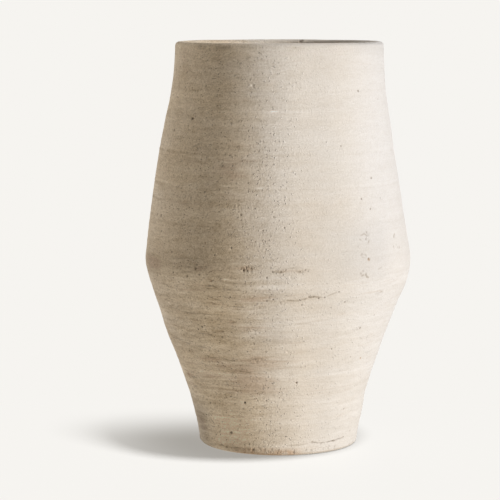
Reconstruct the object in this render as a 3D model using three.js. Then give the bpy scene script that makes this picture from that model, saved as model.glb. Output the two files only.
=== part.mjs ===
// A tall clay jar, thrown in two halves on a separate floor disc and luted together while the clay was
// wet. The lower half flares to a shoulder below mid-height, the upper half leans in to a wide open mouth.
// Millimetres, +Z up. The origin is the middle of the foot, on the surface that the jar stands on.
import * as THREE from 'three';

// Heights
const lowerHeight = 180; // from the ground to the corner of the shoulder
const upperHeight = 220; // from the corner of the shoulder to the top of the lip
const neckLength = 56; // the stretch below the lip where the wall straightens up

// Outer radii
const footRadius = 78;
const shoulderRadius = 133.6; // of the corner where the two walls would meet if it were sharp
const neckRadius = 108;
const mouthRadius = 103.4;

// Leans of the outer wall: millimetres outwards for each millimetre upwards
const footLean = 0.175;
const belowShoulderLean = 0.33;
const aboveShoulderLean = -0.115;
const neckLean = -0.188;
const mouthLean = 0;

// Thicknesses of the clay, measured level
const wallThickness = 10;
const heelThickness = 17; // of the lower wall where it stands on the floor disc
const heelHeight = 42; // above the disc, where the heel has thinned to the wall
const lipThickness = 10.5;
const floorThickness = 12;

// Edges, seams and the trimmed foot
const shoulderRounding = 5; // depth over which the two wall lines melt into each other
const lipRounding = 4.2;
const lipRoundingShare = 0.45; // of the lip's thickness, the most that the rounding of one edge may take
const footRounding = 3.6;
const shoulderSeamRise = 6; // the luted seam is bevelled, so its inner edge is this much higher
const footRingWidth = 18; // the flat ring that the jar stands on
const recessDepth = 2.2; // of the trimmed hollow inside that ring
const recessSlope = 6; // width of the slope between the ring and the hollow

// Faceting
const turns = 80; // facets around the jar
const rowSpacing = 17; // height of a row of facets on a wall
const shoulderRowSpacing = 5; // the same where the shoulder rounds
const roundingSteps = 4; // facets across a rounded edge

const jarHeight = lowerHeight + upperHeight;

// Radius at a height on the smooth curve that joins two stations, each with a height, radius and lean.
function curveRadius(height, from, to) {
  const rise = to.height - from.height;
  const t = (height - from.height) / rise;
  const bulge = t * t * (3 - 2 * t);
  const leave = t * (1 - t) * (1 - t) * rise * from.lean;
  const arrive = t * t * (t - 1) * rise * to.lean;
  return from.radius + (to.radius - from.radius) * bulge + leave + arrive;
}

// The stations of the outer wall, from the ground to the lip.
const foot = { height: 0, radius: footRadius, lean: footLean };
const cornerFromBelow = { height: lowerHeight, radius: shoulderRadius, lean: belowShoulderLean };
const cornerFromAbove = { height: lowerHeight, radius: shoulderRadius, lean: aboveShoulderLean };
const neck = { height: jarHeight - neckLength, radius: neckRadius, lean: neckLean };
const mouth = { height: jarHeight, radius: mouthRadius, lean: mouthLean };

// The line of each half of the wall, carried on straight past the corner of the shoulder.
function lowerLine(height) {
  const past = height - lowerHeight;
  return past > 0 ? shoulderRadius + belowShoulderLean * past : curveRadius(height, foot, cornerFromBelow);
}

function upperLine(height) {
  const below = height - lowerHeight;
  if (below < 0) return shoulderRadius + aboveShoulderLean * below;
  return height < neck.height
    ? curveRadius(height, cornerFromAbove, neck)
    : curveRadius(height, neck, mouth);
}

// Outer radius at a height: the nearer of the two lines, melted together at the shoulder.
function outerRadius(height) {
  const low = lowerLine(height);
  const high = upperLine(height);
  const overlap = Math.max(shoulderRounding - Math.abs(low - high), 0);
  return Math.min(low, high) - (overlap * overlap) / (4 * shoulderRounding);
}

// Thickness of the wall at a height: a thick heel, an even wall, and the lip.
function thickness(height) {
  const heelEnd = Math.min(floorThickness + heelHeight, lowerHeight);
  const heel = THREE.MathUtils.smoothstep(height, floorThickness, heelEnd);
  const lip = THREE.MathUtils.smoothstep(height, neck.height, jarHeight);
  const lower = THREE.MathUtils.lerp(heelThickness, wallThickness, heel);
  return lower + (lipThickness - wallThickness) * lip;
}

const outerPoint = (height) => new THREE.Vector2(outerRadius(height), height);
const innerPoint = (height) => new THREE.Vector2(outerRadius(height) - thickness(height), height);

// How far above and below its corner the shoulder rounds.
const shoulderReach = shoulderRounding / (belowShoulderLean - aboveShoulderLean);

// Evenly spaced heights from one height to another, both included.
function evenHeights(from, to, spacing) {
  const rows = Math.max(1, Math.round((to - from) / spacing));
  return Array.from({ length: rows + 1 }, (_, i) => from + ((to - from) * i) / rows);
}

// Points up a wall face between two heights, in closer rows where the shoulder rounds.
function facePoints(pointAt, bottom, top) {
  const roundingStart = THREE.MathUtils.clamp(lowerHeight - shoulderReach, bottom, top);
  const roundingEnd = THREE.MathUtils.clamp(lowerHeight + shoulderReach, bottom, top);
  const heights = [
    ...evenHeights(bottom, roundingStart, rowSpacing),
    ...evenHeights(roundingStart, roundingEnd, shoulderRowSpacing),
    ...evenHeights(roundingEnd, top, rowSpacing),
  ];
  return [...new Set(heights)].map(pointAt);
}

// Points of a quarter round about a centre, from one angle to another in quarter turns.
function quarterRound(centreRadius, centreHeight, radius, fromQuarter, toQuarter) {
  return Array.from({ length: roundingSteps + 1 }, (_, i) => {
    const angle = (Math.PI / 2) * (fromQuarter + ((toQuarter - fromQuarter) * i) / roundingSteps);
    return new THREE.Vector2(
      centreRadius + radius * Math.cos(angle),
      centreHeight + radius * Math.sin(angle),
    );
  });
}

// One clay section: its outline of radius and height, turned about the jar's upright axis.
function turnedSection(name, outline, material) {
  const geometry = new THREE.LatheGeometry(outline, turns);
  geometry.rotateX(Math.PI / 2);
  const mesh = new THREE.Mesh(geometry, material);
  mesh.name = name;
  return mesh;
}

// The luted shoulder seam, shared by both halves of the wall.
const seamOuterHeight = lowerHeight - shoulderSeamRise / 2;
const seamInnerHeight = lowerHeight + shoulderSeamRise / 2;

// The floor: a disc with a rounded bottom edge and a trimmed hollow underneath.
function floorDisc(material) {
  const rounding = Math.min(footRounding, floorThickness / 2);
  const edgeRadius = outerRadius(rounding);
  const ringOuter = edgeRadius - rounding;
  const ringInner = ringOuter - footRingWidth;
  const outline = [
    new THREE.Vector2(0, recessDepth),
    new THREE.Vector2(ringInner - recessSlope, recessDepth),
    new THREE.Vector2(ringInner, 0),
    ...quarterRound(ringOuter, rounding, rounding, -1, 0),
    outerPoint(floorThickness),
    new THREE.Vector2(0, floorThickness),
  ];
  return turnedSection('floor_disc', outline, material);
}

// The lower half of the wall, from the floor disc to the shoulder seam.
function lowerWall(material) {
  const outline = [
    ...facePoints(outerPoint, floorThickness, seamOuterHeight),
    ...facePoints(innerPoint, floorThickness, seamInnerHeight).reverse(),
  ];
  outline.push(outline[0].clone());
  return turnedSection('lower_wall', outline, material);
}

// The upper half of the wall, from the shoulder seam to the rounded lip.
function upperWall(material) {
  const rounding = Math.min(lipRounding, lipThickness * lipRoundingShare);
  const lipStart = jarHeight - rounding;
  const outside = outerRadius(lipStart);
  const inside = outside - thickness(lipStart);
  const outline = [
    ...facePoints(outerPoint, seamOuterHeight, lipStart).slice(0, -1),
    ...quarterRound(outside - rounding, lipStart, rounding, 0, 1),
    ...quarterRound(inside + rounding, lipStart, rounding, 1, 2),
    ...facePoints(innerPoint, seamInnerHeight, lipStart).reverse().slice(1),
  ];
  outline.push(outline[0].clone());
  return turnedSection('upper_wall', outline, material);
}

const whitewashedClay = new THREE.MeshStandardMaterial({ color: 0xd9cebd, roughness: 0.95, metalness: 0 });
const bareClay = new THREE.MeshStandardMaterial({ color: 0xc9a988, roughness: 0.95, metalness: 0 });

const clayJar = new THREE.Group();
clayJar.name = 'clay_jar';
clayJar.add(floorDisc(bareClay), lowerWall(whitewashedClay), upperWall(whitewashedClay));

export default clayJar;
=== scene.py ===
# A tall clay jar, thrown in two halves on a floor disc, brushed with a pale wash and fired.
# Metres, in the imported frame's axes: +Z up, the jar's axis at x = y = 0, and the front towards -Y.
import math
import random
from typing import NamedTuple

import bmesh
import bpy
from mathutils import Euler, Matrix, Vector, noise
from mathutils.kdtree import KDTree


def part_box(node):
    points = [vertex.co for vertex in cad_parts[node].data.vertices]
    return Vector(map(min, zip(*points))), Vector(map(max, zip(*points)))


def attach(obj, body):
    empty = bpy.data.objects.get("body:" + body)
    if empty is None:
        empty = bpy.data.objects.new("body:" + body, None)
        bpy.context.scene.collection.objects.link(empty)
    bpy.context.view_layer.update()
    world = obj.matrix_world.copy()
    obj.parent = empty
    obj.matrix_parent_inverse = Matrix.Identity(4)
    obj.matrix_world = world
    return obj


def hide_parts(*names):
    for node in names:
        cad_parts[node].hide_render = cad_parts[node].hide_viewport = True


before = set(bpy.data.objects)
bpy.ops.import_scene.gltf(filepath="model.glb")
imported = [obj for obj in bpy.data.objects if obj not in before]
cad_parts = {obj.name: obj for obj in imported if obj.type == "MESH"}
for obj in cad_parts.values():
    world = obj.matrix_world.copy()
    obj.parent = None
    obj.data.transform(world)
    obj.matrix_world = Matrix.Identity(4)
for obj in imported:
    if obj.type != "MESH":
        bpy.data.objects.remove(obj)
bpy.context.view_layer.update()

# Heights, from the frame
LIP_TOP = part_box("upper_wall")[1].z
SEAM_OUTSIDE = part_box("upper_wall")[0].z  # the luted seam is bevelled: low outside, high inside
SEAM_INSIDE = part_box("lower_wall")[1].z
SHOULDER = (SEAM_OUTSIDE + SEAM_INSIDE) / 2
FLOOR_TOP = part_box("floor_disc")[1].z
NECK = LIP_TOP - 0.056  # where the upper wall straightens up

# Outer radii, and leans in metres outwards for each metre upwards
FOOT_RADIUS = 0.078
SHOULDER_RADIUS = 0.1336
NECK_RADIUS = 0.108
MOUTH_RADIUS = 0.1034
FOOT_LEAN = 0.175
BELOW_SHOULDER_LEAN = 0.33
ABOVE_SHOULDER_LEAN = -0.115
NECK_LEAN = -0.188
SHOULDER_ROUNDING = 0.005

# Thicknesses and edges
WALL = 0.010
HEEL = 0.017
HEEL_TOP = FLOOR_TOP + 0.042
LIP = 0.0105
LIP_ROUNDING = 0.0042
FOOT_ROUNDING = 0.0036
FOOT_RING = 0.018
RECESS = 0.0022
RECESS_SLOPE = 0.006

# How finely the clay is modelled
DOUBLINGS = 3  # a slice is turned, and then doubled until it closes
SLICE_STEPS = 54
OUTSIDE_ROW = 0.0020
INSIDE_ROW = 0.005
SEAM_ROW = 0.0003  # a close row beside a seam, so that the shading runs on across it
ROUND_STEPS = 6
SAME_PLACE = 1e-6  # corners closer than this are one
SHARP_ANGLE = math.radians(60)

# The photo's frame, and the camera that matches it
PHOTO_SIDE = 500
FOCAL_PIXELS = 2050
SENSOR = 36
CAMERA_PLACE = Vector((0, -2.035, 0.429))
CAMERA_PITCH = math.radians(6.63)  # down
CAMERA_YAW = math.radians(0.77)  # to the left
CAMERA_TURN = (math.pi / 2 - CAMERA_PITCH, 0, CAMERA_YAW)
FARTHEST_SEEN = 100


def in_scene(name, data):
    """A new object in the scene."""
    made = bpy.data.objects.new(name, data)
    bpy.context.scene.collection.objects.link(made)
    return made


def make_camera():
    data = bpy.data.cameras.new("camera")
    data.sensor_width = SENSOR
    data.lens = FOCAL_PIXELS / PHOTO_SIDE * SENSOR
    data.clip_end = FARTHEST_SEEN
    camera = in_scene("camera", data)
    camera.location = CAMERA_PLACE
    camera.rotation_euler = CAMERA_TURN
    bpy.context.scene.camera = camera


# The jar's form


def smooth_step(value, low, high):
    t = min(max((value - low) / (high - low), 0), 1)
    return t * t * (3 - 2 * t)


def curve(height, low, high):
    """Radius on the smooth curve between two stations, each of a height, a radius and a lean."""
    rise = high[0] - low[0]
    t = (height - low[0]) / rise
    leave = t * (1 - t) ** 2 * rise * low[2]
    arrive = t * t * (t - 1) * rise * high[2]
    return low[1] + (high[1] - low[1]) * t * t * (3 - 2 * t) + leave + arrive


def outer_radius(height):
    """Radius of the outer wall: the nearer of the two halves' lines, melted together at the shoulder."""
    past = height - SHOULDER
    if past > 0:
        low = SHOULDER_RADIUS + BELOW_SHOULDER_LEAN * past
    else:
        low = curve(height, (0, FOOT_RADIUS, FOOT_LEAN), (SHOULDER, SHOULDER_RADIUS, BELOW_SHOULDER_LEAN))
    if past < 0:
        high = SHOULDER_RADIUS + ABOVE_SHOULDER_LEAN * past
    elif height < NECK:
        high = curve(height, (SHOULDER, SHOULDER_RADIUS, ABOVE_SHOULDER_LEAN), (NECK, NECK_RADIUS, NECK_LEAN))
    else:
        high = curve(height, (NECK, NECK_RADIUS, NECK_LEAN), (LIP_TOP, MOUTH_RADIUS, 0))
    overlap = max(SHOULDER_ROUNDING - abs(low - high), 0)
    return min(low, high) - overlap**2 / (4 * SHOULDER_ROUNDING)


def inner_radius(height):
    heel = HEEL + (WALL - HEEL) * smooth_step(height, FLOOR_TOP, HEEL_TOP)
    return outer_radius(height) - heel - (LIP - WALL) * smooth_step(height, NECK, LIP_TOP)


def on(curve_of, height, row=None):
    """A corner on a wall's curve, and how far apart the rows are from there to the next one."""
    return curve_of(height), height, row, curve_of


def flat(radius, height, row=None):
    """A corner at the start of a straight stretch."""
    return radius, height, row, None


def drawn(corners, closed):
    """The outline through some corners, its stretches cut into rows that follow the walls' curves."""
    bm = bmesh.new()
    for corner, following in zip(corners, corners[1:] + corners[:1] * closed):
        row, curve_of = corner[2:]
        edge = bm.edges.new([bm.verts.new((radius, 0, height)) for radius, height, *_ in (corner, following)])
        cuts = round(edge.calc_length() / row) - 1 if row else 0
        if cuts > 0:
            for vert in bmesh.ops.subdivide_edges(bm, edges=[edge], cuts=cuts)["geom_inner"]:
                if curve_of:
                    vert.co.x = curve_of(vert.co.z)
    bmesh.ops.remove_doubles(bm, verts=bm.verts, dist=SAME_PLACE)
    return bm


def round_corners(bm, corners, offset):
    """Rounds corners of an outline, given as radius and height."""
    places = [Vector((radius, 0, height)) for radius, height in corners]
    sharp = [vert for vert in bm.verts if any((vert.co - place).length < SAME_PLACE for place in places)]
    bmesh.ops.bevel(
        bm, geom=sharp, offset=offset, segments=ROUND_STEPS, profile=0.5, affect="VERTICES", material=-1
    )


def turned(bm):
    """Clay turned about the jar's axis from its outline."""
    slice_angle = math.tau / 2**DOUBLINGS
    outline = bm.verts[:] + bm.edges[:]
    bmesh.ops.spin(
        bm, geom=outline, cent=(0, 0, 0), axis=(0, 0, 1), angle=slice_angle, steps=SLICE_STEPS
    )
    for doubling in range(DOUBLINGS):
        copy = bmesh.ops.duplicate(bm, geom=bm.verts[:] + bm.edges[:] + bm.faces[:])["geom"]
        copied = [part for part in copy if isinstance(part, bmesh.types.BMVert)]
        turn = Matrix.Rotation(slice_angle * 2**doubling, 3, "Z")
        bmesh.ops.rotate(bm, verts=copied, cent=(0, 0, 0), matrix=turn)
    bmesh.ops.remove_doubles(bm, verts=bm.verts, dist=SAME_PLACE)
    bmesh.ops.recalc_face_normals(bm, faces=bm.faces)
    return bm


def upper_clay():
    below_lip = LIP_TOP - 2 * LIP_ROUNDING
    corners = [
        on(outer_radius, SEAM_OUTSIDE),
        on(outer_radius, SEAM_OUTSIDE + SEAM_ROW, OUTSIDE_ROW),
        on(outer_radius, below_lip),
        on(outer_radius, LIP_TOP),
        on(inner_radius, LIP_TOP),
        on(inner_radius, below_lip, INSIDE_ROW),
        on(inner_radius, SEAM_INSIDE),
    ]
    outline = drawn(corners, closed=True)
    round_corners(outline, [(outer_radius(LIP_TOP), LIP_TOP), (inner_radius(LIP_TOP), LIP_TOP)], LIP_ROUNDING)
    return turned(outline)


def lower_clay():
    corners = [
        on(outer_radius, FLOOR_TOP),
        on(outer_radius, FLOOR_TOP + SEAM_ROW, OUTSIDE_ROW),
        on(outer_radius, SEAM_OUTSIDE - SEAM_ROW),
        on(outer_radius, SEAM_OUTSIDE),
        on(inner_radius, SEAM_INSIDE, INSIDE_ROW),
        on(inner_radius, FLOOR_TOP),
    ]
    return turned(drawn(corners, closed=True))


def floor_clay():
    foot_edge = outer_radius(FOOT_ROUNDING)
    ring_inner = foot_edge - FOOT_ROUNDING - FOOT_RING
    corners = [
        flat(0, RECESS, INSIDE_ROW),
        flat(ring_inner - RECESS_SLOPE, RECESS),
        flat(ring_inner, 0, INSIDE_ROW),
        flat(foot_edge, 0),
        on(outer_radius, 2 * FOOT_ROUNDING, OUTSIDE_ROW),
        on(outer_radius, FLOOR_TOP - SEAM_ROW),
        flat(outer_radius(FLOOR_TOP), FLOOR_TOP, INSIDE_ROW),
        flat(0, FLOOR_TOP),
    ]
    outline = drawn(corners, closed=False)
    round_corners(outline, [(foot_edge, 0)], FOOT_ROUNDING)
    return turned(outline)


# Places on the clay

WALL_DISTANCES = (1.5, -CAMERA_PLACE.y)  # from the camera, with the wall in between
HALVINGS = 40  # of that stretch


def photo_ray(column, row):
    """Direction from the camera through a pixel of the photo."""
    middle = PHOTO_SIDE / 2
    ray = Vector(((column - middle) / FOCAL_PIXELS, (middle - row) / FOCAL_PIXELS, -1))
    return Euler(CAMERA_TURN).to_matrix() @ ray


def face_radius(height):
    """Radius of the outer face, rounded where the wall meets the ground."""
    setback = FOOT_ROUNDING - min(max(height, 0), FOOT_ROUNDING)
    return outer_radius(height) - FOOT_ROUNDING + math.sqrt(FOOT_ROUNDING**2 - setback**2)


def on_wall(column, row):
    """The point of the outer wall that the photo shows at a pixel."""
    ray = photo_ray(column, row)
    near, far = WALL_DISTANCES
    for _ in range(HALVINGS):
        reach = (near + far) / 2
        point = CAMERA_PLACE + ray * reach
        if math.hypot(point.x, point.y) > face_radius(point.z):
            near = reach
        else:
            far = reach
    return point


def at_turn(turn, height):
    """The point of the outer wall at a turn in degrees, from the front towards +X, and at a height."""
    angle = math.radians(turn)
    radius = face_radius(height)
    return Vector((radius * math.sin(angle), -radius * math.cos(angle), height))


# Marks that the photo shows: column and row in the photo, width and depth in millimetres
FRONT_PITS = [  # where grains burnt out or the potter's rib dragged them
    (185.5, 72, 2, 0.8), (194, 91, 1.5, 0.6), (192, 118.5, 3.4, 1.2), (174, 130, 2.4, 0.9),
    (257, 53, 1.6, 0.6), (206, 60, 1.6, 0.5), (231, 123, 1.5, 0.5), (223, 166, 2, 0.7), (358, 91, 2.4, 1),
    (378, 99, 1.4, 0.5), (342, 146, 1.8, 0.7), (373, 178, 2.2, 1), (160.6, 215.5, 3.2, 1),
    (241, 215, 2.2, 0.8), (274, 217, 1.8, 0.7), (285, 228, 2, 0.8), (363, 199, 2, 0.7), (382, 198, 1.3, 0.5),
    (372, 209, 1.8, 0.7), (171, 252, 1.8, 0.7), (214, 255, 2, 0.8), (186, 276, 2.6, 1), (156, 275, 1.8, 0.6),
    (266, 278, 2, 0.8), (375, 315, 1.6, 0.6), (333, 349, 1.7, 0.7), (361, 328, 2.2, 0.7),
    (352, 357, 1.5, 0.6), (183, 357, 1.8, 0.7), (297, 383, 2.6, 1.2), (244, 403, 2.8, 1),
    (266, 401, 1.8, 0.7), (209, 403, 1.8, 0.7), (230, 432.5, 3.2, 0.9), (234, 404, 1.4, 0.5),
    (184, 87, 1.4, 0.5), (212, 125, 1.8, 0.6), (219, 62, 1.6, 0.5), (217, 74, 1.8, 0.5),
    (157, 214, 2.2, 0.8), (161, 231, 2, 0.7), (182, 161, 1.8, 0.6), (186, 148, 1.4, 0.5),
    (233, 166, 1.5, 0.5), (248, 156, 1.6, 0.6), (263, 231, 1.8, 0.7), (205, 192, 2.4, 0.4),
    (231, 248, 2, 0.6), (240, 269.5, 1.6, 0.7), (243, 270.5, 2.4, 1.1), (246.5, 271, 1.7, 0.8),
    (245.5, 267, 1.6, 0.7), (250.5, 268.5, 1.7, 0.8), (196, 264.5, 2.4, 0.8), (195, 268.5, 2.6, 0.9),
    (198.5, 274.5, 2, 0.7), (210.5, 281, 1.8, 0.6), (191.5, 389, 1.8, 0.7), (242, 409, 1.6, 0.5),
    (202, 397, 1.6, 0.5), (257, 401, 1.4, 0.5), (201, 433, 2, 0.7), (215, 434.5, 1.7, 0.6),
    (219, 434.5, 1.7, 0.6), (248, 444, 1.8, 0.7), (202, 327, 2.2, 0.6), (223, 337, 2, 0.5),
    (265, 425, 1.5, 0.5), (280, 272, 1.6, 0.6), (285, 270, 1.6, 0.6), (272, 272, 1.7, 0.7),
    (305, 270, 1.6, 0.6), (308, 271.5, 1.5, 0.5), (308, 297, 1.8, 0.8), (312.5, 297, 1.6, 0.7),
    (317.5, 298.5, 1.8, 0.8), (323.5, 297.5, 1.7, 0.7), (338, 292, 1.7, 0.7), (344, 302, 1.8, 0.5),
    (301, 305, 1.7, 0.6), (368.6, 258.6, 2.2, 0.6), (349, 431, 1.4, 0.5), (344, 409, 1.6, 0.4),
    (272, 299.5, 2, 0.7), (265.5, 301, 1.8, 0.6),
]
FRONT_FLAKES = [  # where the surface is torn and rough, with how dark it is as the last value
    (198, 267, 7, 0.5, 0.5), (246, 269, 9, 0.6, 0.5), (367, 236, 8, 0.6, 0.6), (364, 254, 6, 0.5, 0.5),
    (396, 236, 5, 0.5, 0.5), (398, 247, 6, 0.5, 0.4), (363, 274, 7, 0.6, 0.6), (378, 293, 6, 0.4, 0.4),
    (236, 206, 9, 0.5, 0.1), (251, 86, 5, 0.4, 0.1), (292, 278, 8, 0.4, 0.1), (378, 125, 5, 0.4, 0.2),
    (281, 270, 9, 0.5, 0.4), (300, 270, 8, 0.4, 0.4), (268, 296, 11, 0.5, 0.5), (283, 280, 7, 0.4, 0.1),
    (308, 304, 8, 0.4, 0.3), (290, 352, 6, 0.4, 0.1), (274, 389, 7, 0.3, 0.1), (244, 329, 7, 0.3, 0.1),
    (343, 302, 5, 0.4, 0.4), (258, 361, 9, 0.4, 0.5), (360, 328, 5, 0.4, 0.4), (344, 313, 6, 0.4, 0.2),
    (252, 175, 9, 0.25, 0), (282, 303, 9, 0.4, 0.3), (240, 448, 8, 0.5, 0.2), (272, 449, 12, 0.6, 0.4),
    (275, 434, 14, 0.3, 0.3), (287, 440, 12, 0.3, 0.2), (268, 442, 12, 0.4, 0.3), (255, 446, 9, 0.4, 0.4),
    (275, 83, 5, 0.3, 0), (290, 120, 5, 0.3, 0.1), (275, 135, 9, 0.2, 0), (333, 450, 6, 0.5, 0.3),
]
FOOT_CHIPS = [
    (252, 450, 3, 0.9), (264, 449.5, 2.2, 0.5), (293, 452, 3.2, 1.2), (322, 449, 1.8, 0.4),
    (259, 449, 2, 0.5), (277, 450.5, 2, 0.5), (348, 444, 2.4, 0.7), (284, 451, 2.2, 0.6),
    (305, 450, 1.8, 0.4), (270.5, 449.5, 2, 0.6), (247, 449, 1.8, 0.5), (311, 442.5, 2.6, 1.2),
    (333.5, 446.5, 2, 0.5), (310, 450.5, 1.8, 0.4), (327, 448, 1.6, 0.4), (267, 451.5, 1.6, 0.4),
]
IRON_SPOTS = [
    (369, 259.5, 3.4), (362, 358, 2.4), (205, 243, 2), (184, 357, 3), (210, 281, 2.5), (188, 374, 5),
]
STAINS_AND_SHADE = [  # soft patches, stains and one painted shade: column and row, reach across and up in millimetres, dark above 0 and pale below
    (149, 262, 18, 9, 1.3), (184, 266, 40, 4, 0.5), (170, 256, 44, 6, 0.2), (222, 267, 26, 3, 0.5),
    (290, 271, 21, 3, 1), (332, 271, 26, 2, 0.4), (217, 62, 5, 12, 0.6), (246, 269, 8, 3, 0.9),
    (213, 190, 15, 5, 0.5), (190, 205, 40, 4, 0.4), (240, 170, 48, 9, 0.25), (160, 172, 30, 8, 0.3),
    (268, 297, 14, 7, 0.6), (308, 298, 20, 3, 0.5), (335, 298, 17, 6, 0.3), (232, 323, 4, 2, 1.8),
    (259, 360, 9, 4, 0.9), (243, 370, 14, 5, 0.9), (224, 367, 10, 4, 0.7), (212, 358, 15, 4, 0.6),
    (285, 365, 27, 9, 0.4), (254, 384, 24, 10, 2), (250, 299, 14, 6, 1.2), (190, 380, 12, 12, 0.9),
    (185, 340, 24, 5, 0.4), (300, 388, 30, 8, 0.25), (195, 276, 36, 3, -0.8), (200, 283, 45, 3, -0.7),
    (205, 307, 50, 6, -0.8), (236, 310, 18, 4, -0.6), (190, 186, 11, 8, -0.7), (265, 424, 24, 14, -0.3),
    (258, 405, 15, 5, -0.3), (205, 99, 6, 2, -0.8), (156, 264, 10, 6, 1), (200, 345, 36, 4, -0.5),
    # the patch at column 194, row 430 is painted shade at the foot's left edge, where the ground's shadow
    # falls
    (330, 320, 30, 20, -0.4), (285, 120, 40, 30, -0.25), (194, 430, 15, 22, 1.3), (182, 62, 8, 18, 0.6),
    (264, 362, 24, 6, 1.1), (258, 328, 22, 5, 0.6), (232, 173, 14, 9, 0.5), (198, 270, 8, 4, 0.8),
    (211, 377, 12, 4, 0.7), (150, 209, 8, 6, 0.7), (160, 317, 9, 5, 0.6),
]
NICK = Vector((0.0238, 0.0912, LIP_TOP - 0.0012))  # in the far side of the lip
NICK_WIDTH = 0.0050
NICK_DEPTH = 0.0006
MILLIMETRE = 0.001

# Marks that are scattered where the photo doesn't look, in metres
SIDES_AND_BACK = (80, 280)  # turns in degrees from the front
MARK_SEED, STAIN_SEED, STREAK_SEED = 11, 5, 3
MORE_PITS = {"count": 70, "widest": 0.0034, "deepest": 0.0012, "heights": (0.02, 0.39)}
MORE_CHIPS = {"count": 16, "widest": 0.0045, "deepest": 0.0013, "heights": (0.001, 0.005)}
MORE_FLAKES = 40
FLAKE_HEIGHTS = (0.03, 0.38)
FLAKE_WIDTHS = (0.005, 0.010)
FLAKE_DEPTH = 0.0006
FLAKE_SHADES = (0, 0.8)
MORE_STAINS = 34
STAIN_HEIGHTS = (0.17, 0.09, 0.3)
STAIN_SCATTER = (-0.05, 0.05)
STAIN_REACHES = ((0.012, 0.05), (0.003, 0.011))  # across and up
STAIN_STRENGTHS = (-0.8, 1.0)

# A torn patch is made of small pits and raised grains
GRAIN_SPACING = 0.0009
GRAIN_WIDTHS = (0.0014, 0.0026)
GRAIN_STRENGTHS = (0.4, 1.0)
GRAIN_ROUGHNESS = 0.4
GRAIN_SPREAD = 0.35  # of the patch's width
FLATNESS = 0.55  # spread up, as a share of the spread across
RAISED_SHARE = 0.4
RAISED_HEIGHT = 0.6  # of the pits' depth
CHIPPED = {"shade": 0.8, "rough": 0.7}
RUSTY = {"shade": 0.3, "rust": 1.0}
RUST_DEPTH = 0.2  # millimetres


class Mark(NamedTuple):
    """A pit, grain, chip or spot in the clay."""

    place: Vector
    width: float
    depth: float
    shade: float = 1.0
    rough: float = 0.0
    rust: float = 0.0


def inwards(place):
    return Vector((-place.x, -place.y, 0)).normalized()


def photographed(rows, **look):
    marks = []
    for x, y, width, depth in rows:
        marks.append(Mark(on_wall(x, y), width * MILLIMETRE, depth * MILLIMETRE, **look))
    return marks


def scattered(rng, count, widest, deepest, heights, **look):
    """Marks at random places of the side that the photo doesn't show."""
    marks = []
    for _ in range(count):
        place = at_turn(rng.uniform(*SIDES_AND_BACK), rng.uniform(*heights))
        size = 0.4 + 0.6 * rng.random() ** 2
        marks.append(Mark(place, widest * size, deepest * size, **look))
    return marks


def crumbled(place, width, depth, shade, rng):
    """A torn patch: small pits and raised grains close together, spread more across than up."""
    turn = math.degrees(math.atan2(place.x, -place.y))
    spread = width * GRAIN_SPREAD
    marks = []
    for _ in range(round(width / GRAIN_SPACING)):
        across = math.degrees(rng.gauss(0, spread) / math.hypot(place.x, place.y))
        near = at_turn(turn + across, place.z + rng.gauss(0, spread * FLATNESS))
        size, share = rng.uniform(*GRAIN_WIDTHS), rng.uniform(*GRAIN_STRENGTHS)
        if rng.random() < RAISED_SHARE:
            marks.append(Mark(near, size, -RAISED_HEIGHT * depth * share, 0, rough=GRAIN_ROUGHNESS))
        else:
            marks.append(Mark(near, size, depth * share, shade * share, rough=GRAIN_ROUGHNESS))
    return marks


def clay_marks():
    rng = random.Random(MARK_SEED)
    marks = photographed(FRONT_PITS) + scattered(rng, **MORE_PITS)
    for x, y, width, depth, shade in FRONT_FLAKES:
        marks += crumbled(on_wall(x, y), width * MILLIMETRE, depth * MILLIMETRE, shade, rng)
    for _ in range(MORE_FLAKES):
        place = at_turn(rng.uniform(*SIDES_AND_BACK), rng.uniform(*FLAKE_HEIGHTS))
        marks += crumbled(place, rng.uniform(*FLAKE_WIDTHS), FLAKE_DEPTH, rng.uniform(*FLAKE_SHADES), rng)
    marks += photographed(FOOT_CHIPS, **CHIPPED) + scattered(rng, **MORE_CHIPS, **CHIPPED)
    marks += photographed([(*spot, RUST_DEPTH) for spot in IRON_SPOTS], **RUSTY)
    marks.append(Mark(NICK, NICK_WIDTH, NICK_DEPTH))
    return marks


def soft_patches():
    """Places, reaches and strengths of the stains and of the painted shade at the foot, also on the sides and
    back.
    """
    rng = random.Random(STAIN_SEED)
    patches = []
    for x, y, across, up, strength in STAINS_AND_SHADE:
        patches.append((on_wall(x, y), across * MILLIMETRE, up * MILLIMETRE, strength))
    for _ in range(MORE_STAINS):
        turn = rng.uniform(*SIDES_AND_BACK)
        place = at_turn(turn, rng.choice(STAIN_HEIGHTS) + rng.uniform(*STAIN_SCATTER))
        reaches = [rng.uniform(*reach) for reach in STAIN_REACHES]
        patches.append((place, *reaches, rng.uniform(*STAIN_STRENGTHS)))
    return patches


MARKS = clay_marks()
PATCHES = soft_patches()

# Cracks, as columns and rows of the photo: where the floor disc was luted on, and below the shoulder
FOOT_CRACK = [(310, 442.5), (320, 443), (331, 441), (338, 439), (343, 436.5)]
FOOT_GROOVE = [(202, 438), (206, 441), (212, 443.8), (222, 445.6), (234, 447.4), (246, 449)]
CRACKS_AND_OPENNESS = ((FOOT_CRACK, 1.0), (FOOT_GROOVE, 0.5))
CRACK_WIDTH = 0.0008
CRACK_DEPTH = 0.0010

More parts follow.
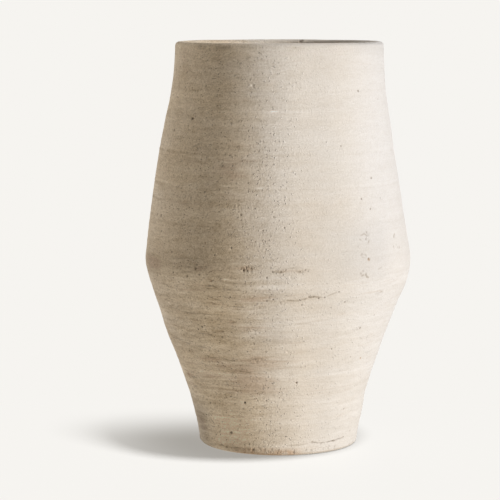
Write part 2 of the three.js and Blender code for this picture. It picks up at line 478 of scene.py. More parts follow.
STREAKS = [  # strokes, scratches and a painted shadow: how dark, or how pale below 0, and the pixels that they run through
    (0.6, (286, 445.5), (300, 444.8), (310, 443)), (0.7, (284, 300), (296, 301), (303, 299.5), (308, 297.3)),
    (0.9, (307, 297.5), (314, 296.8), (325, 297.5)), (0.7, (325, 297), (331, 294), (339, 291.5)),
    (0.7, (361, 236), (365, 234), (368, 236), (370, 240), (367.5, 246)), (0.5, (360, 239), (364, 242)),
    (0.4, (361, 253), (362.5, 257.5), (366, 258)), (0.4, (364, 253), (367, 256)),
    (0.7, (359.5, 272.5), (361.5, 275.5), (364, 275)), (0.7, (365.5, 273), (366.5, 277), (369, 277.5)),
    (0.7, (395.5, 233.5), (394.5, 238)), (0.6, (394, 245.5), (394.8, 249.5)),
    (0.6, (400.5, 244.5), (399.5, 248.5)), (-0.6, (372, 291), (377, 289.5), (383, 289)),
    (0.4, (378, 269.5), (382, 267)), (-0.5, (397, 233), (399, 236)),
    # the two lines just under the near lip, from column 180 to 286, are a painted shadow under the lip's edge
    (0.9, (180, 45.8), (200, 46.4), (222, 47), (250, 46.6)), (0.4, (250, 46.6), (286, 46)),
    (0.9, (205, 286), (212, 286), (217, 288.5)), (0.9, (223, 289), (232, 290.3), (240, 290)),
    (0.8, (202, 278), (212, 280.5), (230, 283), (250, 285)), (-0.9, (196, 275.5), (225, 279.5), (262, 284)),
    (0.6, (210, 298), (222, 301), (240, 302)), (0.8, (226, 306), (236, 307), (244, 307.5)),
    (0.6, (165, 285), (180, 290), (191, 293)),
    (0.6, (160, 303), (175, 308), (187, 313), (200, 313.5), (218, 315)), (0.5, (195, 303), (212, 303.5)),
    (-0.6, (201, 303), (206, 311)), (0.5, (214, 292), (226, 297), (236, 298)),
    (0.4, (258, 292), (263, 294), (268, 297), (274, 295)), (0.4, (263, 302), (268, 300), (273, 301.5)),
    (0.8, (269, 271.5), (280, 272.5), (290, 271), (300, 272), (309, 270)),
    (0.5, (278, 268), (290, 268.5), (301, 267)), (0.6, (166, 271), (186, 272), (205, 270)),
    (0.5, (172, 258), (190, 259)), (0.6, (178, 266), (192, 267.5)), (1, (185, 342), (195, 345), (208, 348)),
    (0.9, (207, 355.5), (213, 358), (221, 357.5)), (0.9, (222, 358), (232, 361), (240, 358.5)),
    (0.6, (196, 361), (204, 364), (214, 367.5)), (0.8, (222, 372.5), (235, 373.2)),
    (0.9, (186, 373), (193, 377), (198, 377.5)), (0.5, (199, 381), (218, 381)),
    (0.9, (192, 386), (200, 386.3), (206, 388.5)), (0.7, (212, 391), (218, 395), (226, 397)),
    (0.5, (229, 396), (240, 399), (260, 400)), (0.8, (199, 333), (207, 333.5), (214, 336)),
    (0.8, (230, 342), (237, 344.5)), (1, (228, 323.5), (236, 322.5)), (0.9, (248, 360), (262, 358.5)),
    (0.8, (250, 363.5), (261, 364)), (1, (239, 371), (252, 373)), (-0.6, (200, 348), (216, 352)),
    (-0.6, (222, 361), (230, 365)), (-0.5, (196, 379), (202, 385), (210, 387)),
    (-0.6, (225, 377.5), (245, 378)), (0.5, (296, 324), (308, 323.5), (315, 326)),
    (0.6, (374, 294), (382, 291)), (-0.5, (340, 278), (372, 279)), (0.4, (180, 102.5), (226, 102.5)),
    (0.4, (195, 106), (205, 110)), (0.7, (190, 149), (203, 142)),
    (-0.9, (243, 111), (270, 111.5), (303, 112.5)), (-0.6, (200, 100.5), (212, 100.8)),
    (-0.8, (246, 88), (251, 84.5)), (-0.5, (202, 118), (206, 123)), (0.5, (208, 156), (300, 156.6)),
    (-0.6, (172, 182), (188, 182.5)), (-0.9, (190, 184), (225, 186), (262, 188.5), (300, 190)),
    (0.5, (199, 190), (222, 190.5)), (0.5, (180, 204), (197, 204), (216, 205.5)),
    (0.5, (200, 208), (226, 211)), (0.7, (191, 195), (191, 201)), (0.9, (208, 417), (213, 424)),
    (0.6, (236, 415), (240, 417), (262, 415.5)), (0.5, (248, 433), (262, 433)),
    (0.6, (202, 424), (214, 427)), (0.5, (222, 236), (240, 235)), (0.5, (170, 225), (186, 225)),
    (0.4, (300, 251), (352, 251)), (0.5, (183, 212), (206, 213)), (0.5, (196, 317), (226, 320)),
    (0.5, (172, 319), (190, 322)), (0.7, (174, 337), (184, 340)),
]
STREAK_WIDTH = 0.0012
TRAIL_STEP = 0.0007  # between the points that stand for a crack or streak

# Streaks where the photo doesn't look: turns in degrees and heights in metres
MORE_STREAKS = 40
STREAK_HEIGHTS = (0.03, 0.27)
STREAK_TURNS = (5, 14)
STREAK_FALLS = (-0.0015, 0.003)
STREAK_TONES = (-0.6, 0.5, 0.7, 0.9)


def trail(places):
    """Points close together along a line."""
    points = []
    for start, end in zip(places, places[1:]):
        steps = math.ceil((end - start).length / TRAIL_STEP)
        points += [start.lerp(end, step / steps) for step in range(steps)]
    return points


def crack_points():
    """Points along the cracks, each with how open the crack is there."""
    points = []
    for pixels, openness in CRACKS_AND_OPENNESS:
        points += [(place, openness) for place in trail([on_wall(*pixel) for pixel in pixels])]
    return points


def streak_points():
    """Points along the streaks, each with its tone, also on the sides and back."""
    rng = random.Random(STREAK_SEED)
    lines = [(tone, [on_wall(*pixel) for pixel in pixels]) for tone, *pixels in STREAKS]
    for _ in range(MORE_STREAKS):
        turn, height = rng.uniform(*SIDES_AND_BACK), rng.uniform(*STREAK_HEIGHTS)
        reach, fall = rng.uniform(*STREAK_TURNS), rng.uniform(*STREAK_FALLS)
        corners = [at_turn(turn + reach * part, height - fall * part) for part in (0, 0.5, 1)]
        lines.append((rng.choice(STREAK_TONES), corners))
    points = []
    for tone, corners in lines:
        line = trail(corners)
        for index, place in enumerate(line):
            part = index / len(line)
            points.append((place, tone * min(1, 0.3 + 5 * part * (1 - part))))  # thinner towards its ends
    return points


CRACKS = crack_points()
STREAK_POINTS = streak_points()


# Relief of the thrown surface

WANDER = [  # the walls were pulled up by hand: height in metres, then drift to +X and swelling in millimetres
    (0, 1, 0), (0.03, 1.2, -0.5), (0.055, 0.1, -1.5), (0.08, -0.3, -1.2), (0.11, -1.1, -0.6),
    (0.14, -0.2, -0.7), (0.16, 0.9, 0), (0.19, 0.4, -0.6), (0.24, -0.6, -1.2), (0.29, -1, -0.9),
    (0.32, -0.2, -0.6), (0.345, 0.7, -0.7), (0.37, 1.4, -0.4), (0.4, 1.7, -0.6),
]
LIP_TILT = 0.006  # the lip stands this much higher at the back for each metre
LIP_SAG = 0.0004
SAG_START = LIP_TOP - 0.012
THROWING_PITCH = 0.0083
INSIDE_PITCH = THROWING_PITCH * 1.4
RIDGE = 0.00009  # height of the throwing ridges that the rib left outside
FINGER_RING = 0.00045  # and of the rings inside, which nobody smoothed away
SWELLS = ((0.0005, 10, 10), (0.0002, 45, 45), (0.00004, 110, 250))  # height, and clouds a metre across and up

# Level bands: height, how much more below the shoulder, clouds a metre across and up, and a shift
LEVEL_BANDS = ((0.00012, 0.00012, 7, 90, 20), (0.00007, 0.00009, 16, 260, 50))

BAND = (0.1665, 0.1700, 0.1760, 0.1795)  # heights of a band wiped round just under the shoulder
BAND_DEPTH = 0.00035
SKIN = (0.008, 0.001)  # depths under the outer face between which its relief takes over
FLOOR_REST = (0.04, 0.07)  # radii between which the floor starts to follow the wall
SMALLEST_RADIUS = 1e-5

MIDDLE_COLUMN = 278  # of the photo, up the middle of the jar
LINES = [  # lines of the rib: row of the photo, half width in millimetres, and how pale, or dark below 0
    (92, 0.8, -0.08), (112, 0.7, 0.07), (156, 0.8, -0.13), (188, 0.8, 0.08), (191, 0.8, -0.06),
    (206, 1.2, -0.08), (229, 0.9, -0.06), (285, 0.8, -0.10), (377, 1.2, 0.13), (404, 0.9, 0.07),
    (414, 0.9, -0.07),
]
RIB_LINES = [(on_wall(MIDDLE_COLUMN, row).z, half * MILLIMETRE, tone) for row, half, tone in LINES]

# How marks press into the clay
MARK_REACH = 0.6  # of a mark's width
ROUGH_REACH = 0.2  # further for a rough one
REFINED_CUTS = 2
REFINED_MARGIN = 0.001
STREAK_MARGIN = 0.0005


def wander(height):
    """Drift and swelling of the wall at a height, in metres."""
    for (low, *start), (high, *end) in zip(WANDER, WANDER[1:]):
        if height <= high:
            share = smooth_step(height, low, high)
            return [(a + (b - a) * share) * MILLIMETRE for a, b in zip(start, end)]
    return [value * MILLIMETRE for value in WANDER[-1][1:]]


def rise_and_fall(value, low, full, still, high):
    return smooth_step(value, low, full) * (1 - smooth_step(value, still, high))


def clouds_at(p, across, up, shift=0):
    """Noise at a point, with so many clouds a metre across and up."""
    return noise.noise(Vector((p.x * across, p.y * across, p.z * up + shift)))


def spiral(p, pitch):
    """1 on a ridge that winds round the wall, one pitch for each turn, and -1 between."""
    turn = math.atan2(p.x, -p.y) / math.tau
    return math.sin(math.tau * (p.z / pitch + turn))


def outside_relief(p):
    """How far the outer wall stands out from its true round form at a point."""
    lower = 1 - smooth_step(p.z, SHOULDER - 0.02, SHOULDER)
    relief = sum(height * clouds_at(p, across, up) for height, across, up in SWELLS)
    relief += RIDGE * spiral(p, THROWING_PITCH) * (0.5 + clouds_at(p, 14, 30))
    for height, more_below, *cells in LEVEL_BANDS:
        relief += (height + more_below * lower) * clouds_at(p, *cells)
    return relief - BAND_DEPTH * rise_and_fall(p.z, *BAND)


def inside_relief(p):
    rings = FINGER_RING * spiral(p, INSIDE_PITCH) * (0.8 + 0.5 * clouds_at(p, 20, 20))
    return 0.0007 * clouds_at(p, 12, 12) + rings


def search_tree(places):
    tree = KDTree(len(places))
    for index, place in enumerate(places):
        tree.insert(place, index)
    tree.balance()
    return tree


def refine_near_marks(bm):
    """Finer faces where a mark or a crack needs them."""
    faces = bm.faces[:]
    tree = search_tree([face.calc_center_median() for face in faces])
    near = [(mark.place, mark.width * MARK_REACH + REFINED_MARGIN) for mark in MARKS]
    near += [(place, CRACK_WIDTH + REFINED_MARGIN) for place, _ in CRACKS]
    near += [(place, STREAK_WIDTH + STREAK_MARGIN) for place, _ in STREAK_POINTS]
    edges = set()
    for place, reach in near:
        for _, index, _ in tree.find_range(place, reach):
            edges.update(faces[index].edges)
    bmesh.ops.subdivide_edges(bm, edges=list(edges), cuts=REFINED_CUTS, use_grid_fill=True)


def press_marks(verts, tree, shade, rust):
    """Presses pits, grains and chips into the clay, with their shade and rust."""
    for number, mark in enumerate(MARKS):
        into = inwards(mark.place)
        reach = mark.width * (MARK_REACH + ROUGH_REACH * mark.rough)
        for _, index, distance in tree.find_range(mark.place, reach):
            vert = verts[index]
            wobble = noise.noise(vert.co * 650 + Vector((number, 0, 0)))
            fall = max(0, 1 - (distance / reach) ** 2 * (1.1 - 0.5 * wobble))
            torn = 0.25 + 1.5 * wobble
            amount = fall * (1 - mark.rough + mark.rough * torn)
            vert[shade] = max(vert[shade], max(0, amount) * mark.shade)
            vert[rust] = max(vert[rust], fall * mark.rust)
            vert.co += into * mark.depth * amount


def open_cracks(verts, tree, shade):
    """Opens the cracks, ragged, where no mark is as deep."""
    for place, openness in CRACKS:
        into = inwards(place)
        for _, index, distance in tree.find_range(place, CRACK_WIDTH):
            vert = verts[index]
            ragged = openness * (0.6 + 0.8 * clouds_at(place, 250, 250))
            amount = min(1, 1.7 * (1 - distance / CRACK_WIDTH)) * ragged
            if amount > vert[shade]:
                vert.co += into * CRACK_DEPTH * (amount - vert[shade])
                vert[shade] = amount


def note_streaks(verts, tree, streak):
    for place, tone in STREAK_POINTS:
        for _, index, distance in tree.find_range(place, STREAK_WIDTH):
            vert = verts[index]
            broken = min(max(0.7 + 1.2 * clouds_at(place, 150, 400), 0), 1)
            amount = tone * (1 - (distance / STREAK_WIDTH) ** 2) * broken
            if abs(amount) > abs(vert[streak]):
                vert[streak] = amount


def cut_marks(bm):
    """Presses the marks and cracks into the clay, with what its finish shows of them."""
    shade, rust, streak = [bm.verts.layers.float.new(name) for name in ("shade", "rust", "streak")]
    verts = bm.verts[:]
    tree = search_tree([vert.co for vert in verts])
    press_marks(verts, tree, shade, rust)
    open_cracks(verts, tree, shade)
    note_streaks(verts, tree, streak)


def stained_and_shaded(p):
    """How dark or pale the soft patches leave the clay at a point."""
    total = 0
    for place, across, up, strength in PATCHES:
        rise = (p.z - place.z) / up
        if abs(rise) < 2:
            level = math.hypot(p.x - place.x, p.y - place.y) / across
            total += strength * math.exp(-(level**2) - rise**2)
    return total


def throw(bm):
    """Moves the points of a true round form to where the potter's hands left the clay."""
    inside_note = bm.verts.layers.float.new("inside")
    stain_and_shade = bm.verts.layers.float.new("stain_and_shade")
    for vert in bm.verts:
        p = vert.co
        vert[stain_and_shade] = stained_and_shaded(p)
        radius = max(math.hypot(p.x, p.y), SMALLEST_RADIUS)
        outer = outer_radius(min(max(p.z, 0), LIP_TOP))
        outside = smooth_step(radius, *[outer - depth for depth in SKIN])
        drift, swelling = wander(p.z)
        move = swelling + inside_relief(p) * (1 - outside) + outside_relief(p) * outside
        if p.z < FLOOR_TOP:
            move *= smooth_step(radius, *FLOOR_REST)
        sag = LIP_SAG * clouds_at(p, 18, 0, 3) + LIP_TILT * p.y
        sag *= smooth_step(p.z, SAG_START, LIP_TOP)
        scale = 1 + move / radius
        vert[inside_note] = 1 - outside if p.z > FLOOR_TOP / 2 else 0
        vert.co = Vector((p.x * scale + drift, p.y * scale, p.z + sag))


def mesh_piece(bm, name):
    mesh = bpy.data.meshes.new(name)
    bm.to_mesh(mesh)
    bm.free()
    return in_scene(name, mesh)


def modelled(bm, name):
    """A piece of the jar, marked, thrown and ready for its finish."""
    refine_near_marks(bm)
    cut_marks(bm)
    throw(bm)
    piece = mesh_piece(bm, name)
    piece.data.shade_smooth()
    piece.data.set_sharp_from_angle(angle=SHARP_ANGLE)
    return piece


# Finishes

# Textures: size of a cell across and up in metres, shift, and for clouds tilt, detail and roughness
CLOUDS = {
    "drift": (0.11, 0.07, 13, 0, 4, 0.6),
    "broad": (0.08, 0.04, 0, 0, 3, 0.55),
    "strokes": (0.06, 0.007, 0, 0.06, 5, 0.62),
    "mottle": (0.0075, 0.0042, 6, 0, 3, 0.6),
    "patches": (0.1, 0.013, 8, 0, 5, 0.65),
    "wisps": (0.03, 0.0017, 21, 0.05, 3, 0.6),
    "threads": (0.04, 0.0028, 11, 0.05, 3, 0.65),
    "hairs": (0.14, 0.012, 3, 0, 4, 1),
    "sand": (0.0018, 0.0014, 0, 0, 2, 0.7),
    "gaps": (0.03, 0.05, 4, 0, 3, 0.5),
    "sweeps": (0.05, 0.006, 5, 0.12, 3, 0.8),
    "groups": (0.02, 0.02, 9, 0, 2, 0.5),
}
DOTS = {"specks": (0.011, 0.008, 0), "flecks": (0.0062, 0.005, 7), "grains": (0.0044, 0.0036, 2)}

# the wash's lit colour, used on the +X side as painted light
LIT_THICK_WASH = (0.870, 0.800, 0.722)
PALE_RIM = (0.87, 0.78, 0.67)
WASH_STEPS = (0.86, 1.0, 1.22)  # how much more wash shows in red, green and blue
# the wash's shaded colour, used on the -X side as painted shade
SHADED_THIN_WASH = (0.747, 0.574, 0.375)
# a painted highlight: the whiter colour of the lit far right
PAINTED_HIGHLIGHT_WHITE = (0.86, 0.82, 0.79)
# the foot wash, warm as painted shade on the -X side and pale as painted light on the +X side
WARM_SHADED_FOOT_WASH = (0.90, 0.71, 0.485)
PALE_LIT_FOOT_WASH = (0.86, 0.79, 0.71)
BARE_CLAY = (0.57, 0.427, 0.28)
UMBER_STAIN = (0.56, 0.388, 0.25)
DARK_GRAIN = (0.36, 0.265, 0.17)
IRON = (0.58, 0.36, 0.20)
PIT_SHADE = (0.24, 0.18, 0.125)
SPONGED = (0.1700, 0.1712, 0.1755, 0.1775)  # heights of the pale band that a wet sponge left

# Painted light and shade in places: how much lighter or darker, and the heights and the x at which each comes
# and goes
LIT_AND_SHADED_PLACES = [
    (0.08, (0.175, 0.155), (-0.08, -0.058, -0.03, 0)),
    (0.08, (0.1, 0.03), (-0.062, -0.045, -0.03, -0.005)),
    (-0.06, (0.168, 0.182, 0.212, 0.24), (0.045, 0.07, 0.095, 0.115)),
    (-0.09, (0.17, 0.177, 0.192, 0.204), (-0.15, -0.13, -0.09, -0.055)),
    (0.04, (0.22, 0.26), (-0.02, -0.002, 0.012, 0.035)),
    # painted shade at the foot's left edge, where the ground's shadow falls
    (-0.26, (0.055, 0.03), (-0.062, -0.074)),
    # painted light from the ground on the foot's front left
    (0.09, (0.045, 0.028), (-0.066, -0.056, -0.034, -0.02)),
    (-0.05, (0.112, 0.118, 0.128, 0.138), (-0.04, -0.025, 0, 0.015)),
    (-0.05, (0.384, 0.394), (0.06, 0.085)),
]


class Finish:
    """The nodes of a material or a world."""

    def __init__(self, owner):
        owner.use_nodes = True
        self.nodes = owner.node_tree.nodes
        self.links = owner.node_tree.links

    def fill(self, node, inputs):
        """Puts values, colours and other nodes' results on a node's inputs."""
        for name, value in inputs.items():
            socket = node.inputs[name]
            if isinstance(value, bpy.types.NodeSocket):
                self.links.new(value, socket)
            elif isinstance(value, tuple) and socket.type == "RGBA":
                socket.default_value = (*value, 1)
            else:
                socket.default_value = value

    def node(self, kind, inputs, output=0, **settings):
        """The result of a new node."""
        node = self.nodes.new(kind)
        for name, value in settings.items():
            setattr(node, name, value)
        self.fill(node, inputs)
        return node.outputs[output]

    def place(self):
        """The object's own coordinates."""
        return self.node("ShaderNodeTexCoord", {}, "Object")

    def part(self, vector, axis):
        return self.node("ShaderNodeSeparateXYZ", {"Vector": vector}, axis)

    def ramp(self, value, low, high, start=0.0, end=1.0):
        inputs = {"Value": value, "From Min": low, "From Max": high, "To Min": start, "To Max": end}
        return self.node("ShaderNodeMapRange", inputs, interpolation_type="SMOOTHSTEP")

    def hump(self, value, low, full, still, high):
        """1 between two values, falling to 0 on both sides."""
        return self.times(self.ramp(value, low, full), self.ramp(value, still, high, 1.0, 0.0))

    def math(self, operation, first, second):
        return self.node("ShaderNodeMath", {0: first, 1: second}, operation=operation)

    def add(self, first, *others):
        for other in others:
            first = self.math("ADD", first, other)
        return first

    def times(self, first, *others):
        for other in others:
            first = self.math("MULTIPLY", first, other)
        return first

    def blend(self, first, second, factor):
        return self.node("ShaderNodeMix", {0: factor, 6: first, 7: second}, 2, data_type="RGBA")

    def toned(self, colour, tone):
        """A colour made darker or lighter as a whole."""
        return self.node("ShaderNodeVectorMath", {0: colour, "Scale": tone}, operation="SCALE")

    def camera_share(self):
        """1 for what the camera sees, straight or in a reflection or through glass, else 0."""
        path = self.nodes.new("ShaderNodeLightPath").outputs
        share = self.math("MAXIMUM", path["Is Camera Ray"], path["Is Glossy Ray"])
        return self.math("MAXIMUM", share, path["Is Transmission Ray"])


class ClayFinish(Finish):
    """The clay's nodes, with the places that its layers share."""

    def __init__(self, owner):
        super().__init__(owner)
        self.clay = self.place()
        self.height = self.part(self.clay, 2)
        behind = self.ramp(self.part(self.clay, 1), 0.0, 0.07)  # where the border between the painted lit and shaded sides is ragged
        self.side = self.add(self.part(self.clay, 0), self.times(self.around("drift", 0.28), behind))
        self.lower = self.ramp(self.height, SHOULDER - 0.006, SHOULDER + 0.004, 1.0, 0.0)
        self.shaded_side_strength = self.ramp(self.side, -0.07, 0.04, 1.5, 0.35)  # painted to follow the light: marks show stronger on the shaded -X side and fainter on the lit +X side
        self.rough = self.ramp(self.side, -0.015, 0.035, 1.0, self.halves(0.22, 0.40))
        self.ragged = self.add(self.height, self.around("strokes", 0.005), self.around("mottle", 0.001))
        groups = self.ramp(self.clouds("groups"), 0.55, 0.61)
        specks = self.ramp(self.dots("specks"), 0.10, 0.04)
        self.pinholes = self.times(specks, groups, self.shaded_side_strength, self.shaded_side_strength)

    def cells(self, across, up, shift, tilt=0):
        """The clay's coordinates in cells of a size across and up, in metres, level or tilted."""
        place = self.clay
        if tilt:
            place = self.node("ShaderNodeMapping", {"Vector": place, "Rotation": (0, tilt, 0)})
        scale = (1 / across, 1 / across, 1 / up)
        inputs = {"Vector": place, "Scale": scale, "Location": (shift, shift, shift)}
        return self.node("ShaderNodeMapping", inputs)

    def clouds(self, texture):
        *cells, detail, roughness = CLOUDS[texture]
        inputs = {"Vector": self.cells(*cells), "Scale": 1, "Detail": detail, "Roughness": roughness}
        return self.node("ShaderNodeTexNoise", inputs)

    def dots(self, texture):
        """Distance to the nearest of many scattered points."""
        return self.node("ShaderNodeTexVoronoi", {"Vector": self.cells(*DOTS[texture]), "Scale": 1})

    def around(self, texture, share):
        """A texture's clouds about nought instead of about a half, times a share."""
        return self.times(self.math("SUBTRACT", self.clouds(texture), 0.5), share)

    def halves(self, above, below):
        """One value above the shoulder and another below it."""
        return self.ramp(self.lower, 0, 1, above, below)

    def note(self, name):
        """A value that the mesh carries."""
        return self.node("ShaderNodeAttribute", {}, "Fac", attribute_name=name)

    def washed(self, colour, tone):
        """A colour with more wash on it, which makes it paler, or with less."""
        inputs = {0: colour, 1: self.toned(WASH_STEPS, tone), 2: colour}
        return self.node("ShaderNodeVectorMath", inputs, operation="MULTIPLY_ADD")


def wash(f):
    """The colour of the wash, and how thickly it lies, with painted light and shade: thick and pale on the
    lit +X side, thin and brown on the shaded -X side.
    """
    # painted light and shade: thicker, paler wash on the lit +X side and thinner, browner wash on the shaded
    # -X side, with clouds of real variation
    thickness_and_light = f.add(
        f.ramp(f.side, -0.060, 0.010, 0.20, f.ramp(f.height, 0.19, 0.33, 0.62, 0.74)),
        f.ramp(f.side, 0.010, 0.100, 0.0, 0.20),
        f.around("broad", 0.4),
        f.times(f.around("strokes", 1.0), f.halves(0.12, 0.20)),
        f.times(f.note("inside"), -0.35),
    )
    colour = f.blend(SHADED_THIN_WASH, LIT_THICK_WASH, f.ramp(thickness_and_light, 0.0, 1.0))
    # painted highlight: whiter on the lit far right
    painted_highlight = f.times(f.ramp(f.side, 0.055, 0.105), f.ramp(f.height, 0.15, 0.30, 0.5, 0.8))
    colour = f.blend(colour, PAINTED_HIGHLIGHT_WHITE, painted_highlight)
    # painted light and shade on the foot wash: warm on the shaded -X side, pale on the lit +X side
    foot_wash_by_light = f.blend(WARM_SHADED_FOOT_WASH, PALE_LIT_FOOT_WASH, f.ramp(f.side, -0.035, 0.060))
    return f.blend(colour, foot_wash_by_light, f.times(f.ramp(f.height, 0.16, 0.0), 0.6)), thickness_and_light


def stains_and_shade(f, colour):
    """Umber stains, dark threads and scratches, pale smears, the sponged band, and painted shade at the
    foot's left edge and under the near lip; pale marks show less on the lit right.
    """
    stain_and_shade = f.add(
        f.note("stain_and_shade"),
        f.around("patches", 2.6),
        f.around("strokes", 1.2),
        f.times(f.around("wisps", 3.0), f.halves(0.5, 1.0)),
        f.around("mottle", 0.8),
    )
    colour = f.blend(colour, UMBER_STAIN, f.times(f.ramp(stain_and_shade, 0.30, 1.30), f.shaded_side_strength, 0.50))
    threads = f.clouds("threads")
    dark_thread = f.times(f.ramp(threads, 0.60, 0.74), f.halves(0.4, 1.0), f.shaded_side_strength, 0.5)
    colour = f.blend(colour, UMBER_STAIN, dark_thread)
    colour = f.blend(colour, DARK_GRAIN, f.times(f.ramp(f.note("streak"), 0.0, 0.8), 0.62))
    pale = f.add(
        f.times(f.ramp(stain_and_shade, -0.30, -1.10), 0.14),
        f.times(f.ramp(threads, 0.40, 0.26), f.halves(0.3, 0.8), 0.10),
        f.times(f.ramp(f.note("streak"), 0.0, -0.8), 0.34),
        f.times(f.hump(f.ragged, *SPONGED), 0.04),
    )
    return f.washed(colour, f.times(pale, f.ramp(f.side, -0.02, 0.06, 1.0, 0.4)))


def pale_rim(f, colour):
    """A paler rim, where the wash was thickest."""
    rim = f.times(f.note("inside"), f.ramp(f.height, LIP_TOP - 0.020, LIP_TOP - 0.004))
    return f.blend(colour, PALE_RIM, f.times(rim, f.ramp(f.side, -0.090, -0.030, 0.3, 0.9)))


def brushed(f, colour):
    """Paler and darker by brush hairs, mottling, sand and lines of the rib."""
    tone = f.add(
        f.times(f.around("hairs", 1.0), f.halves(0.5, 0.8)),
        f.times(f.around("strokes", 1.0), f.halves(0.08, 0.18)),
        f.times(f.around("sweeps", 0.5), f.lower),
        f.around("mottle", 0.35),
        f.around("sand", 0.75),
    )
    broken = f.ramp(f.clouds("gaps"), 0.35, 0.55)
    for place, half, strength in RIB_LINES:
        line = f.hump(f.ragged, *[place + reach * half for reach in (-1.6, -0.5, 0.5, 1.6)])
        tone = f.add(tone, f.times(line, broken, strength))
    return f.washed(colour, f.times(tone, f.shaded_side_strength))


def painted_light_and_shade(f, colour):
    """Painted light and shade in places, painted shade on the lit right, and darker towards the lip and the
    ground.
    """
    tone = f.add(
        f.ramp(f.height, LIP_TOP - 0.060, LIP_TOP - 0.010, 1.0, 0.96),
        f.ramp(f.height, 0.0, 0.14, -0.035, 0.0),
        # painted shade on the lit +X side, which tones down its light
        f.ramp(f.side, 0.02, 0.05, 0.0, -0.09),
    )
    for strength, *bounds in LIT_AND_SHADED_PLACES:
        shares = []
        for value, limits in zip((f.height, f.side), bounds):
            shares.append(f.ramp(value, *limits) if len(limits) == 2 else f.hump(value, *limits))
        tone = f.add(tone, f.times(*shares, strength))
    return f.toned(colour, tone)


def gritty(f, colour):
    """Dark pinholes and pale flecks."""
    colour = f.blend(colour, DARK_GRAIN, f.times(f.pinholes, 0.45))
    return f.washed(colour, f.times(f.ramp(f.dots("flecks"), 0.15, 0.07, 0.0, 0.18), f.rough))


def wiped(f, colour, wiped_below):
    """Bare clay where the foot was wiped, with iron along its edge."""
    edge = f.add(f.height, f.around("broad", 0.004), f.around("mottle", 0.003))
    colour = f.blend(colour, BARE_CLAY, f.ramp(edge, wiped_below, wiped_below * 0.4, 0.0, 0.4))
    iron = f.times(f.ramp(edge, 0.0095, 0.0040), f.hump(f.side, -0.050, -0.030, 0.010, 0.030))
    return f.blend(colour, IRON, f.times(iron, f.ramp(f.clouds("mottle"), 0.35, 0.6, 0.3, 1.0), 0.75))


def fine_relief(f):
    """Relief too fine to model: sand, raised grains, brush hairs, flecks and pinholes."""
    grains = f.times(f.ramp(f.dots("grains"), 0.20, 0.06), f.rough)
    flecks = f.times(f.ramp(f.dots("flecks"), 0.16, 0.05), f.rough)
    relief = f.node("ShaderNodeBump", {"Height": f.clouds("sand"), "Distance": 0.00055, "Strength": 1})
    for height, distance, strength in (
        (grains, 0.0009, 1),
        (f.clouds("hairs"), 0.0004, 0.9),
        (flecks, 0.0009, 1),
        (f.times(f.pinholes, -0.6), 0.0006, 0.8),
    ):
        inputs = {"Height": height, "Distance": distance, "Strength": strength, "Normal": relief}
        relief = f.node("ShaderNodeBump", inputs)
    return relief


def brushed_clay(name, wiped_below=0.0):
    """Coarse buff clay under a thin pale wash, brushed on level, and wiped off near the ground."""
    material = bpy.data.materials.new(name)
    f = ClayFinish(material)
    colour, thickness_and_light = wash(f)
    colour = gritty(f, painted_light_and_shade(f, brushed(f, pale_rim(f, stains_and_shade(f, colour)))))
    if wiped_below:
        colour = wiped(f, colour, wiped_below)
    colour = f.blend(colour, IRON, f.times(f.note("rust"), 0.7))
    inputs = {
        "Base Color": f.blend(colour, PIT_SHADE, f.times(f.note("shade"), 0.85)),
        "Roughness": f.ramp(thickness_and_light, 0.0, 1.0, 0.96, 0.84),
        "Normal": fine_relief(f),
        "Specular IOR Level": 0.25,
        "Sheen Weight": 0.15,
        "Sheen Roughness": 0.5,
    }
    f.fill(f.nodes["Principled BSDF"], inputs)
    return material


# The jar, the studio and the lamps

WIPED_BELOW = 0.0035


def dress(piece, node, material):
    piece.data.materials.append(material)
    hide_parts(node)
    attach(piece, "root")
    return piece


def make_jar():
    wall_finish = brushed_clay("washed_clay")
    foot_finish = brushed_clay("wiped_foot", WIPED_BELOW)
    return [
        dress(modelled(upper_clay(), "upper_clay"), "upper_wall", wall_finish),
        dress(modelled(lower_clay(), "lower_clay"), "lower_wall", wall_finish),
        dress(modelled(floor_clay(), "floor_clay"), "floor_disc", foot_finish),
    ]


PAPER = (0.9215, 0.9046, 0.8715)  # the pale ground behind and under the jar
GROUND_SIDE = 30
GROUND_COLOUR = (0.13, 0.1296, 0.1282)
GROUND_BOUNCE = (0.65, 0.637, 0.61)  # what the open ground throws back at the jar
BOUNCE_IN_SHADE = 0.75  # the share of it that is left where the jar shades the ground
AMBIENT = 0.03

# How the jar's shadow fades: from where to where, in metres, and its shares there
SHADOW_AWAY = (0.08, 0.25, 1.0, 0.25)
SHADOW_BACK = (-0.010, 0.185, 1.0, 0.0)
SHADOW_RIGHT = (0.050, 0.110, 1.0, 0.3)

# Lamps: degrees right of the front and up, width in degrees, and strength (1 shows true colours)
JAR_LAMPS = {"window": (63, 15, 14, 0.875), "left_fill": (-133, 38, 50, 0.45)}
GROUND_LAMP = (57, 72, 10, 4.4)


def ground_light():
    """How strongly the ground is lit where nothing shades it."""
    _, elevation, _, strength = GROUND_LAMP
    return AMBIENT + strength * math.sin(math.radians(elevation))


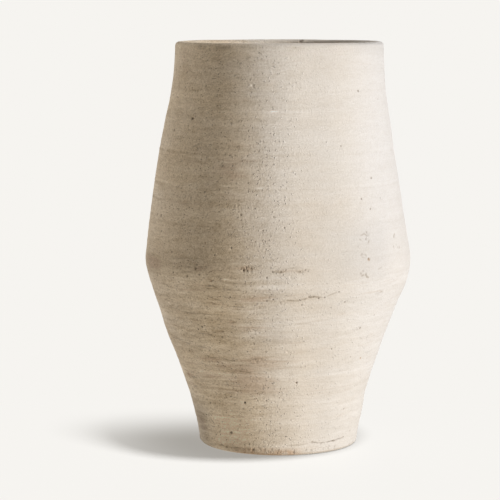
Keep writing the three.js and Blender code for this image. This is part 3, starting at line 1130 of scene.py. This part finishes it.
def ground_paper():
    """Paper that the camera sees white but for the jar's shadow, which fades away from the jar."""
    material = bpy.data.materials.new("ground_paper")
    f = Finish(material)
    place = f.place()
    shadow = f.times(
        f.ramp(f.node("ShaderNodeVectorMath", {"Vector": place}, "Value", operation="LENGTH"), *SHADOW_AWAY),
        f.ramp(f.part(place, 1), *SHADOW_BACK),
        f.ramp(f.part(place, 0), *SHADOW_RIGHT),
    )
    light = ground_light()
    lit_glow = tuple(tone - share * light for tone, share in zip(PAPER, GROUND_COLOUR))
    shaded_away = tuple(tone * (1 - BOUNCE_IN_SHADE) / light for tone in GROUND_BOUNCE)
    bounce_glow = tuple(tone - share * light for tone, share in zip(GROUND_BOUNCE, shaded_away))
    matt = {"Roughness": 1, "Specular IOR Level": 0, "Emission Strength": 1}
    base, glow = f.blend((0, 0, 0), GROUND_COLOUR, shadow), f.blend(PAPER, lit_glow, shadow)
    seen = f.nodes["Principled BSDF"]
    f.fill(seen, {"Base Color": base, "Emission Color": glow, **matt})
    inputs = {"Base Color": shaded_away, "Emission Color": bounce_glow, **matt}
    felt = f.node("ShaderNodeBsdfPrincipled", inputs)
    mix = f.node("ShaderNodeMixShader", {0: f.camera_share(), 1: felt, 2: seen.outputs[0]})
    f.fill(f.nodes["Material Output"], {"Surface": mix})
    return material


def make_ground():
    bm = bmesh.new()
    bmesh.ops.create_grid(bm, x_segments=1, y_segments=1, size=GROUND_SIDE)
    ground = mesh_piece(bm, "ground")
    ground.data.materials.append(ground_paper())
    return ground


def make_backdrop():
    world = bpy.data.worlds.new("backdrop")
    f = Finish(world)
    f.fill(f.nodes["Background"], {"Color": f.blend((AMBIENT,) * 3, PAPER, f.camera_share())})
    bpy.context.scene.world = world


def make_lamp(name, place, lit):
    """A soft lamp far off, for the pieces that it is aimed at."""
    azimuth, elevation, width, strength = place
    data = bpy.data.lights.new(name, "SUN")
    data.angle = math.radians(width)
    data.energy = math.pi * strength
    lamp = in_scene(name, data)
    lamp.rotation_euler = (math.radians(90 - elevation), 0, math.radians(azimuth))
    aim = bpy.data.collections.new(f"lit_by_{name}")
    for piece in lit:
        aim.objects.link(piece)
    lamp.light_linking.receiver_collection = aim


make_camera()
jar = make_jar()
ground = make_ground()
make_backdrop()
for name, place in JAR_LAMPS.items():
    make_lamp(name, place, jar)
make_lamp("overhead", GROUND_LAMP, [ground])

bpy.context.scene.view_settings.view_transform = "Standard"
